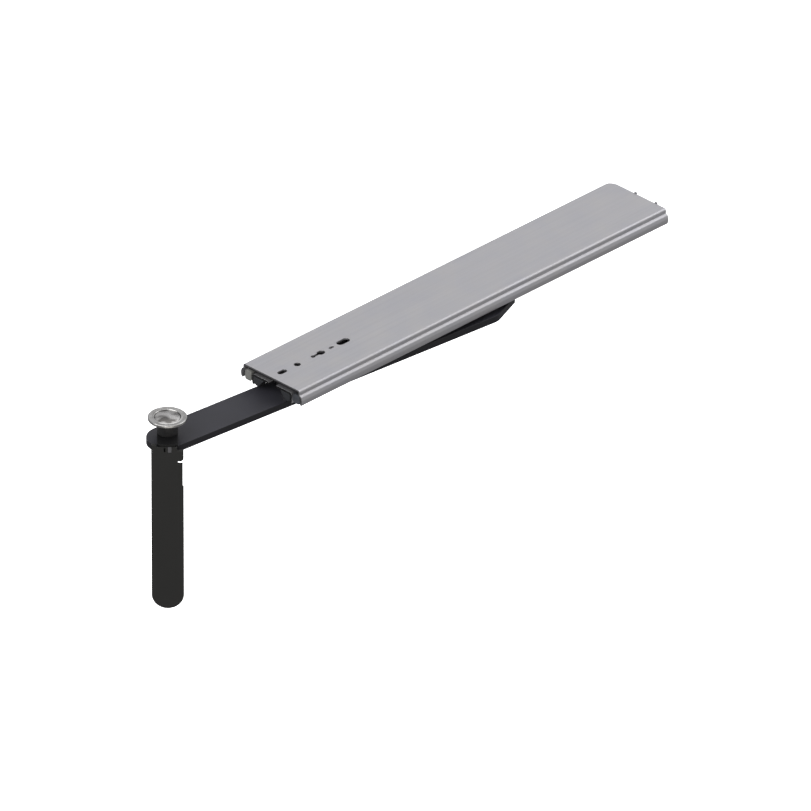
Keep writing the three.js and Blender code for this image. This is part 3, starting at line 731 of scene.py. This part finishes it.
def ball(radius, x, y, z):
    bm = bmesh.new()
    bmesh.ops.create_uvsphere(bm, u_segments=32, v_segments=20, radius=radius)
    bmesh.ops.translate(bm, verts=bm.verts, vec=(x, y, z))
    return bm


def append(target, other):
    data = mesh_from(other)
    target.from_mesh(data)
    bpy.data.meshes.remove(data)


def ball_cage(name, node, body, path, balls):
    """A pressed cage with openings in its web and a pocket at each ball, and its two rows of balls."""
    low, high = box_mm(node)
    web = path[0][1]
    strip = prism(sheet_outline(path, CAGE_SHEET), low.y, high.y, "Y")
    tools = []
    pitch = (high.y - low.y) / CAGE_WINDOWS["count"]
    reach = balls["side"] - CAGE_WINDOWS["margin"]
    half = (pitch - CAGE_WINDOWS["rib"]) / 2
    for i in range(CAGE_WINDOWS["count"]):
        middle = low.y + pitch * (i + 0.5)
        outline = rectangle(-reach, middle - half, reach, middle + half, CAGE_WINDOWS["corner"], math.pi / 12)
        tools.append(prism(outline, web - PAST, web + PAST))
    start = balls["middle"] - (balls["count"] - 1) * balls["pitch"] / 2
    places = [start + i * balls["pitch"] for i in range(balls["count"])]
    for y in places:
        pocket = circle_points(balls["radius"] * BALL_POCKET, y, balls["height"])
        for side in (-balls["side"], balls["side"]):
            tools.append(prism(pocket, side - 2 * PAST, side + 2 * PAST, "X"))
    piece(name + "_strip", combine(strip, tools), "strip_steel", body, [node], bevel=0.08)
    for side, label in ((-1, "left"), (1, "right")):
        row = bmesh.new()
        for y in places:
            append(row, ball(balls["radius"], side * balls["side"], y, balls["height"]))
        piece(f"{name}_balls_{label}", row, "hard_balls", body, bevel=0)


ball_cage("outer_cage", "outer_ball_cage", "outer_retainer", OUTER_CAGE, OUTER_BALLS)
ball_cage("inner_cage", "inner_ball_cage", "inner_retainer", INNER_CAGE, INNER_BALLS)

# ---------- End caps, bumpers and front guides ----------

CLEAR = 0.3  # the gap between two pieces that fit together
END_CAP_CORNER = 2.2
BUMPER = {"corner": 1.5, "grooves": 5, "groove_half": 0.6, "groove_deep": 0.8}


def end_cap(name, node, look):
    """A moulded cap on one end of the intermediate member's flange, slotted for the flange."""
    low, high = box_mm(node)
    body = prism(rectangle(low.x, low.z, high.x, high.z, END_CAP_CORNER), low.y, high.y, "Y")
    flange = member_section("intermediate_member", MIDDLE_SECTION, MIDDLE_SHEET + 2 * CLEAR)
    slot = prism(flange, box_mm("intermediate_member")[0].y - CLEAR, high.y + PAST, "Y")
    piece(name, combine(body, [slot]), look, "intermediate", [node], bevel=0.3)


end_cap("left_end_cap", "end_cap_left", "pale_acetal")
end_cap("right_end_cap", "end_cap_right", "dark_acetal")


def bumper(name, node, body):
    """A rubber bumper: a rounded bar with shallow grooves across its front face."""
    low, high = box_mm(node)
    bar = prism(rectangle(low.x, low.z, high.x, high.z, BUMPER["corner"]), low.y, high.y, "Y")
    step = (high.x - low.x) / (BUMPER["grooves"] + 1)
    half, deep = BUMPER["groove_half"], BUMPER["groove_deep"]
    grooves = []
    for i in range(BUMPER["grooves"]):
        x = low.x + step * (i + 1)
        groove_low = (x - half, low.y - PAST, low.z - PAST)
        grooves.append(box_solid(groove_low, (x + half, low.y + deep, high.z + PAST)))
    piece(name, combine(bar, grooves), "moulded_rubber", body, [node], bevel=0.35)


bumper("outer_bumper", "outer_rear_bumper", "outer")
bumper("intermediate_bumper", "intermediate_rear_bumper", "intermediate")


def front_guide(name, node, side):
    """A moulded wedge in a front corner of the inner member. side is 1 or -1 in X."""
    low, high = box_mm(node)
    outside = high.x if side > 0 else -low.x
    corners = [
        (outside, high.z, 0.6),
        (outside, high.z - 5.9, 1),
        (outside - 2.8, high.z - 7.9, 1),
        (outside - 5.6, high.z - 7.3, 1),
        (outside - 12, high.z, 0.6),
    ]
    outline = rounded([(side * x, z, r) for x, z, r in corners])
    piece(name, prism(outline, low.y, high.y, "Y"), "guide_acetal", "inner", [node], bevel=0.3)


front_guide("left_front_guide", "front_guide_left", -1)
front_guide("right_front_guide", "front_guide_right", 1)

# ---------- Swing pivot ----------

PIVOT_PLACE = Matrix.Translation((0, pivot.y, 0))


def heights(node):
    """The lowest and highest points of a CAD node, in millimetres."""
    low, high = box_mm(node)
    return low.z, high.z


low, high = heights("pivot_boss")
COLLAR = {"radius": 16.5, "chamfer": 0.6, "low": -18.2, "high": -8.9}
SCREW_BORE = {"radius": 4.1, "end": -15, "tip": -13}
SPINDLE = 8  # radius of the boss under its collar
SPIGOT = 6  # radius of the boss over its collar
boss = lathe(
    [
        (SCREW_BORE["radius"], low),
        (SPINDLE - 0.4, low),
        (SPINDLE, low + 0.4),
        (SPINDLE, COLLAR["low"]),
        (COLLAR["radius"] - COLLAR["chamfer"], COLLAR["low"]),
        (COLLAR["radius"], COLLAR["low"] + COLLAR["chamfer"]),
        (COLLAR["radius"], COLLAR["high"] - COLLAR["chamfer"]),
        (COLLAR["radius"] - COLLAR["chamfer"], COLLAR["high"]),
        (SPIGOT, COLLAR["high"]),
        (SPIGOT, high - 0.3),
        (SPIGOT - 0.3, high),
        (2, high),
        (2, SCREW_BORE["tip"]),
        (SCREW_BORE["radius"], SCREW_BORE["end"]),
    ]
)
piece("swing_boss", boss, "turned_steel", "inner", ["pivot_boss"], PIVOT_PLACE)

low = heights("pivot_screw")[0]
HEAD_THICK, SOCKET_DEEP, SOCKET_RADIUS = 3, 1.8, 2.9
head_high = low + HEAD_THICK
shank_end = SCREW_BORE["end"] - 1
screw = lathe(
    [
        (0, low),
        (5.6, low),
        (6.1, low + 0.15),
        (6.4, low + 0.6),
        (6.5, low + 1.1),
        (6.5, head_high - 0.2),
        (6.3, head_high),
        (3.9, head_high),
        (3.9, shank_end - 0.4),
        (3.5, shank_end),
        (0, shank_end),
    ]
)
socket = prism(circle_points(SOCKET_RADIUS, 0, 0, 6), low - PAST, low + SOCKET_DEEP)
screw = combine(screw, [socket])
piece("swing_screw", screw, "turned_steel", "inner", ["pivot_screw"], PIVOT_PLACE)
low, high = heights("pivot_retainer")
retainer = ring(14, 4.3, low, high, 0.4)
piece("swing_retainer", retainer, "turned_steel", "inner", ["pivot_retainer"], PIVOT_PLACE)

# ---------- Arm ----------

reach = Vector((post.x - pivot.x, post.y - pivot.y))
ARM_PLACE = Matrix.Translation((pivot.x, pivot.y, 0)) @ Matrix.Rotation(math.atan2(reach.x, -reach.y), 4, "Z")
ARM_REACH = reach.length
ARM_HALF = 18.8
ARM_LOW, ARM_HIGH = heights("swing_arm")
TAIL_TIP = (-0.5, 254, 4)  # across, along and corner radius
TAIL_SHOULDERS = {"right": 215.5, "left": 219, "radius": 16}
PIVOT_BUSH, POST_BUSH = 10, 8  # radii
STOP_PIN = {"along": 53.5, "radius": 2.5}
SLIP = 0.1  # the gap round a pressed or running fit
arm_outline = rounded(
    [
        (ARM_HALF, -ARM_REACH - ARM_HALF, ARM_HALF - TINY),
        (ARM_HALF, TAIL_SHOULDERS["right"], TAIL_SHOULDERS["radius"]),
        TAIL_TIP,
        (-ARM_HALF, TAIL_SHOULDERS["left"], TAIL_SHOULDERS["radius"]),
        (-ARM_HALF, -ARM_REACH - ARM_HALF, ARM_HALF - TINY),
    ],
    step=math.pi / 36,
)
under, over = ARM_LOW - PAST, ARM_HIGH + PAST
arm_holes = [
    cylinder(PIVOT_BUSH + SLIP, under, over),
    cylinder(POST_BUSH + SLIP, under, over, 0, -ARM_REACH),
    cylinder(STOP_PIN["radius"] + SLIP, under, over, 0, STOP_PIN["along"]),
]
arm = combine(prism(arm_outline, ARM_LOW, ARM_HIGH), arm_holes)
piece("swing_bar", arm, "arm_coat", "arm", ["swing_arm"], ARM_PLACE, bevel=0.35, segments=3)
bush = ring(PIVOT_BUSH, SPINDLE + SLIP, ARM_LOW + SLIP, ARM_HIGH - SLIP)
piece("swing_bush", bush, "sintered_bronze", "arm", ["pivot_bush"], ARM_PLACE)
for node, name in (("upper_thrust_washer", "upper_washer"), ("lower_thrust_washer", "lower_washer")):
    low, high = heights(node)
    piece(name, ring(16, 8.4, low, high), "dark_acetal", "arm", [node], ARM_PLACE, bevel=0.1)

STOP_PLACE = ARM_PLACE @ Matrix.Translation((0, STOP_PIN["along"], 0))
low, high = heights("stop_pin")
thick = STOP_PIN["radius"]
pin = lathe(
    [
        (0, low),
        (thick - 0.3, low),
        (thick, low + 0.3),
        (thick, high - 0.5),
        (thick - 0.5, high),
        (0, high),
    ],
    SMALL_ROUND,
)
piece("swing_stop_pin", pin, "turned_steel", "arm", ["stop_pin"], STOP_PLACE)
low, high = heights("stop_sleeve")
sleeve = ring(3.7, thick + SLIP, low, high, 0.4, SMALL_ROUND)
piece("swing_stop_sleeve", sleeve, "moulded_rubber", "arm", ["stop_sleeve"], STOP_PLACE)
SHAFT_RADIUS = 6
bush = ring(POST_BUSH, SHAFT_RADIUS + SLIP, ARM_LOW + SLIP, ARM_HIGH - SLIP)
bush_place = ARM_PLACE @ Matrix.Translation((0, -ARM_REACH, 0))
piece("post_bush", bush, "sintered_bronze", "arm", ["handle_bush"], bush_place)

# ---------- Handle ----------

facing = math.atan2(paddle_normal.x, -paddle_normal.y)
HANDLE_PLACE = Matrix.Translation((post.x, post.y, 0)) @ Matrix.Rotation(facing, 4, "Z")
POST_RADIUS = 9.25
PADDLE_BACK = -19.2
PADDLE_THICK = 3.2
PADDLE_FRONT = PADDLE_BACK - PADDLE_THICK
FOOT_FRONT = PADDLE_FRONT
FOOT_CORNER = 4
LIP = 2.2  # thickness of the foot's lip over the paddle's edge
foot_outline = rounded(
    [
        (-POST_RADIUS, FOOT_FRONT, FOOT_CORNER),
        (POST_RADIUS, FOOT_FRONT, FOOT_CORNER),
        (POST_RADIUS, POST_RADIUS, POST_RADIUS - TINY),
        (-POST_RADIUS, POST_RADIUS, POST_RADIUS - TINY),
    ]
)
low, high = heights("handle_foot")
wide = POST_RADIUS + PAST
rebate = box_solid((-wide, FOOT_FRONT - PAST, low - PAST), (wide, PADDLE_BACK + CLEAR, high - LIP))
shaft_hole = cylinder(SHAFT_RADIUS + SLIP, low - PAST, high + PAST)
foot = combine(prism(foot_outline, low, high), [shaft_hole, rebate])
piece("post_foot", foot, "foot_coat_painted_shade", "handle", ["handle_foot"], HANDLE_PLACE, bevel=0.35, segments=3)

low, high = heights("handle_post")
sleeve = ring(POST_RADIUS, SHAFT_RADIUS + SLIP, low, high, 0.15)
piece("post_sleeve", sleeve, "post_coat", "handle", ["handle_post"], HANDLE_PLACE)

low, high = heights("handle_shaft")
SPRING_WELL = {"radius": 4.4, "floor": -14.2}
ROD_WELL = {"radius": 1.6, "floor": -19.4}
shaft = lathe(
    [
        (0, low),
        (SHAFT_RADIUS - 0.6, low),
        (SHAFT_RADIUS, low + 0.6),
        (SHAFT_RADIUS, high - 0.3),
        (SHAFT_RADIUS - 0.3, high),
        (SPRING_WELL["radius"], high),
        (SPRING_WELL["radius"], SPRING_WELL["floor"]),
        (ROD_WELL["radius"], SPRING_WELL["floor"]),
        (ROD_WELL["radius"], ROD_WELL["floor"]),
        (0, ROD_WELL["floor"]),
    ]
)
piece("post_shaft", shaft, "turned_steel", "handle", ["handle_shaft"], HANDLE_PLACE)

low, high = heights("handle_retainer")
slots = []
for k in range(3):
    turn = Matrix.Rotation(2 * math.pi * k / 3, 2)
    slots.append(prism([turn @ corner for corner in rectangle(-0.6, 5, 0.6, 8.2)], low - PAST, high + PAST))
retainer = combine(ring(10.5, SHAFT_RADIUS + SLIP, low, high, 0.35), slots)
piece("post_retainer", retainer, "turned_steel", "handle", ["handle_retainer"], HANDLE_PLACE)

low, high = heights("cap_flange")
CAP_RADIUS = 17.4
CAP_WELL = {"radius": 11.65, "floor": -2.7}  # where the button sits
CAP_BORE = 2.1  # for the button's rod
flange = lathe(
    [
        (CAP_BORE, low),
        (12.2, low),
        (12.7, low + 0.25),
        (12.9, low + 0.8),
        (13.0, -2.5),
        (13.5, -1.95),
        (16.7, -1.7),
        (17.1, -1.55),
        (17.3, -1.25),
        (CAP_RADIUS, -0.8),
        (CAP_RADIUS, 0.35),
        (17.3, 0.75),
        (17.0, high - 0.15),
        (16.5, high),
        (13.8, high - 0.4),
        (13.3, high - 0.35),
        (12.7, high),
        (12.1, high),
        (11.75, high - 0.35),
        (CAP_WELL["radius"], high - 0.8),
        (CAP_WELL["radius"], CAP_WELL["floor"]),
        (CAP_BORE, CAP_WELL["floor"]),
    ],
    CAP_ROUND,
)
piece("cap_ring", flange, "polished_stainless", "handle", ["cap_flange"], HANDLE_PLACE, bevel=0.12)

low, high = heights("cap_button")
DOME = {"rim": 11.3, "edge": 0.4, "rise": 1.6, "steps": 24}
ROD_SOCKET = {"radius": 1.6, "top": 1.3}
dome = []
for i in range(DOME["steps"]):
    angle = math.pi / 2 * i / DOME["steps"]
    dome.append((DOME["rim"] * math.cos(angle), low + DOME["edge"] + DOME["rise"] * math.sin(angle) ** 1.4))
socket = [(0, ROD_SOCKET["top"]), (ROD_SOCKET["radius"], ROD_SOCKET["top"]), (ROD_SOCKET["radius"], low)]
button = lathe([*socket, (DOME["rim"], low), *dome, (0, high)], CAP_ROUND)
piece("cap_dome", button, "polished_dome", "button", ["cap_button"], HANDLE_PLACE, bevel=0)

low, high = heights("button_rod")
ROD_RADIUS = 1.5
ROD_COLLAR = {"radius": 3.8, "chamfer": 0.2, "low": -5.6, "high": -4.4}
rod = lathe(
    [
        (0, low),
        (ROD_RADIUS - 0.3, low),
        (ROD_RADIUS, low + 0.3),
        (ROD_RADIUS, ROD_COLLAR["low"]),
        (ROD_COLLAR["radius"] - ROD_COLLAR["chamfer"], ROD_COLLAR["low"]),
        (ROD_COLLAR["radius"], ROD_COLLAR["low"] + ROD_COLLAR["chamfer"]),
        (ROD_COLLAR["radius"], ROD_COLLAR["high"] - ROD_COLLAR["chamfer"]),
        (ROD_COLLAR["radius"] - ROD_COLLAR["chamfer"], ROD_COLLAR["high"]),
        (ROD_RADIUS, ROD_COLLAR["high"]),
        (ROD_RADIUS, high),
        (0, high),
    ],
    SMALL_ROUND,
)
piece("button_stem", rod, "turned_steel", "button", ["button_rod"], HANDLE_PLACE, bevel=0.06)

SPRING_WIRE = 0.35  # radius
SPRING_SIDES = 12
SPRING_RADIUS = 3.1
SPRING_TURNS = 5


def coil(low, high):
    """A compression spring whose end turns lie closed."""
    bm = bmesh.new()
    steps = SPRING_TURNS * 32
    pitch_free = (high - low - 4 * SPRING_WIRE) / (SPRING_TURNS - 2)
    rings = []
    for i in range(steps + 1):
        turns = SPRING_TURNS * i / steps
        middle = min(max(turns - 1, 0), SPRING_TURNS - 2)
        closed = turns - middle
        z = low + SPRING_WIRE + pitch_free * middle + closed * SPRING_WIRE
        z = min(z, high - SPRING_WIRE)
        angle = 2 * math.pi * turns
        outward = Vector((math.cos(angle), math.sin(angle), 0))
        middle_point = outward * SPRING_RADIUS + Vector((0, 0, z))
        section = []
        for across, up in circle_points(SPRING_WIRE, 0, 0, SPRING_SIDES):
            section.append(bm.verts.new(middle_point + outward * across + Vector((0, 0, up))))
        rings.append(section)
    for a, b in zip(rings, rings[1:]):
        for k in range(SPRING_SIDES):
            n = (k + 1) % SPRING_SIDES
            bm.faces.new((a[k], a[n], b[n], b[k]))
    bm.faces.new(rings[0][::-1])
    bm.faces.new(rings[-1])
    return bm


low, high = heights("rod_spring")
spring = coil(low, high)
spring = piece("button_spring", spring, "turned_steel", "handle", ["rod_spring"], HANDLE_PLACE, bevel=0)
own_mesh(spring)

PADDLE_HALF = 14.2
PADDLE_TOP = -17.4  # under the foot's lip
PADDLE_CORNER = -21.2  # the upper corner that is cut down
PADDLE_ROUND = 0.8  # of the small upper corners
LIP_LEFT, LIP_RIGHT = -9.55, 8.55
low, high = heights("paddle")
blade_outline = rounded(
    [
        (-PADDLE_HALF, high, PADDLE_ROUND),
        (LIP_LEFT, high, PADDLE_ROUND),
        (LIP_LEFT, PADDLE_TOP),
        (LIP_RIGHT, PADDLE_TOP, PADDLE_ROUND),
        (LIP_RIGHT, PADDLE_CORNER),
        (PADDLE_HALF, PADDLE_CORNER, PADDLE_ROUND),
        (PADDLE_HALF, low, PADDLE_HALF - TINY),
        (-PADDLE_HALF, low, PADDLE_HALF - TINY),
    ],
    step=math.pi / 40,
)
blade = prism(blade_outline, PADDLE_FRONT, PADDLE_BACK, "Y")
perimeter = [e for e in blade.edges if abs(e.verts[0].co.y - e.verts[1].co.y) < 1e-6]
bmesh.ops.bevel(
    blade, geom=perimeter, offset=0.45, segments=3, affect="EDGES", profile=0.5, clamp_overlap=True
)
NOTCH_TOP, NOTCH_LOW, NOTCH_DEEP = -31.6, -34.5, 4.9
NOTCH_EASE = {"radius": 3, "length": 4}  # the rounded edge over the notch
RECESS_DEEP, RECESS_LOW = 0.8, -57.4  # the edge is set back from the notch down to here
notch_outline = rounded(
    [
        (PADDLE_HALF + PAST, NOTCH_TOP + NOTCH_EASE["length"]),
        (PADDLE_HALF - 2 * TINY, NOTCH_TOP + NOTCH_EASE["length"]),
        (PADDLE_HALF - 2 * TINY, NOTCH_TOP, NOTCH_EASE["radius"]),
        (PADDLE_HALF - NOTCH_DEEP, NOTCH_TOP, 0.3),
        (PADDLE_HALF - NOTCH_DEEP, NOTCH_LOW, 0.3),
        (PADDLE_HALF - RECESS_DEEP, NOTCH_LOW, 0.6),
        (PADDLE_HALF - RECESS_DEEP, RECESS_LOW),
        (PADDLE_HALF + PAST, RECESS_LOW - PAST),
    ]
)
slit = rectangle(-3.1, -22.5, -1.7, -18, 0.4)
low, high = heights("paddle_clip")
LEAF = {"middle": 2, "half": 1.7, "thick": 1, "corner": 0.5}
PEG_RADIUS = 1
peg_at = (LEAF["middle"], (low + high) / 2)
peg_hole = circle_points(PEG_RADIUS + SLIP, *peg_at)
holes = (notch_outline, slit, peg_hole)
tools = [prism(hole, PADDLE_FRONT - PAST, PADDLE_BACK + PAST, "Y") for hole in holes]
leaf_left, leaf_right = LEAF["middle"] - LEAF["half"], LEAF["middle"] + LEAF["half"]
pocket_floor = PADDLE_FRONT + SLIP + LEAF["thick"] + CLEAR
pocket_low = (leaf_left - CLEAR, PADDLE_FRONT - PAST, low - CLEAR)
tools.append(box_solid(pocket_low, (leaf_right + CLEAR, pocket_floor, PADDLE_TOP + PAST)))
blade = combine(blade, tools)
piece("paddle_blade", blade, "paddle_coat", "handle", ["paddle"], HANDLE_PLACE, bevel=0.12, angle=40)

leaf_front = PADDLE_FRONT + SLIP
leaf_outline = rectangle(leaf_left, low, leaf_right, high, LEAF["corner"])
leaf = prism(leaf_outline, leaf_front, leaf_front + LEAF["thick"], "Y")
peg = prism(circle_points(PEG_RADIUS, *peg_at), leaf_front + LEAF["thick"] / 2, PADDLE_BACK - CLEAR, "Y")
clip = combine(leaf, [peg], "UNION")
piece("paddle_leaf", clip, "dull_steel", "handle", ["paddle_clip"], HANDLE_PLACE, bevel=0.2)

# ---------- Floor and light ----------

FLOOR_DROP = 180 * MM  # the slide is fixed up high, so the floor is well below the paddle
FLOOR_SIZE = 30.0


def floor():
    """A floor that only shows itself, and neither shades the slide nor shows in it."""
    bm = bmesh.new()
    bmesh.ops.create_grid(bm, x_segments=4, y_segments=4, size=FLOOR_SIZE / 2)
    mesh = mesh_from(bm, "floor")
    mesh.materials.append(pale_floor())
    obj = bpy.data.objects.new("floor", mesh)
    obj.location = (0, 0, CAD_LOW.z - FLOOR_DROP)
    obj.visible_glossy = False
    obj.visible_diffuse = False
    obj.visible_shadow = False
    bpy.context.scene.collection.objects.link(obj)


floor()


def studio():
    """A soft world, brighter above and behind the slide and darker in front and below."""
    world = bpy.data.worlds.new("studio")
    bpy.context.scene.world = world
    world.use_nodes = True
    tree = world.node_tree
    tree.nodes.clear()
    direction = tree.nodes.new("ShaderNodeTexCoord").outputs["Generated"]
    toward = tree.nodes.new("ShaderNodeVectorMath")
    toward.operation = "DOT_PRODUCT"
    tree.links.new(direction, toward.inputs[0])
    toward.inputs[1].default_value = Vector((0.1, 0.55, 0.83)).normalized()
    ramp = tree.nodes.new("ShaderNodeValToRGB")
    span = tree.nodes.new("ShaderNodeMapRange")
    span.inputs["From Min"].default_value = -1
    tree.links.new(toward.outputs["Value"], span.inputs["Value"])
    tree.links.new(span.outputs[0], ramp.inputs["Fac"])
    stops = [(0.0, 0.3), (0.35, 0.34), (0.55, 0.34), (0.75, 0.6), (1.0, 1.0)]
    elements = ramp.color_ramp.elements
    while len(elements) < len(stops):
        elements.new(0.5)
    for element, (place, level) in zip(elements, stops):
        element.position = place
        element.color = (level, level, level * 1.02, 1)
    ramp.color_ramp.interpolation = "EASE"
    background = tree.nodes.new("ShaderNodeBackground")
    tree.links.new(ramp.outputs[0], background.inputs["Color"])
    background.inputs["Strength"].default_value = 1.0
    output = tree.nodes.new("ShaderNodeOutputWorld")
    tree.links.new(background.outputs[0], output.inputs["Surface"])


studio()


def softbox(name, toward, away_by, size, power, colour=(1.0, 1.0, 1.0)):
    """A rectangular area light in that direction from the slide, aimed at it."""
    data = bpy.data.lights.new(name, "AREA")
    data.shape = "RECTANGLE"
    data.size, data.size_y = size
    data.energy = power
    data.color = colour
    light = bpy.data.objects.new(name, data)
    direction = Vector(toward).normalized()
    light.location = centre + direction * away_by
    light.rotation_mode = "QUATERNION"
    light.rotation_quaternion = direction.to_track_quat("Z", "Y")
    bpy.context.scene.collection.objects.link(light)


softbox("key", (0.45, 0.6, 0.66), 2.2, (1.8, 1.4), 11)
softbox("top", (-0.1, 0.15, 1.0), 2.0, (1.8, 1.8), 10)
softbox("fill", (-0.1, -0.75, 0.66), 2.2, (2.0, 2.0), 38)
softbox("front", (0.75, -0.62, -0.12), 2.4, (2.4, 1.8), 18, (1.0, 0.965, 0.91))

import json
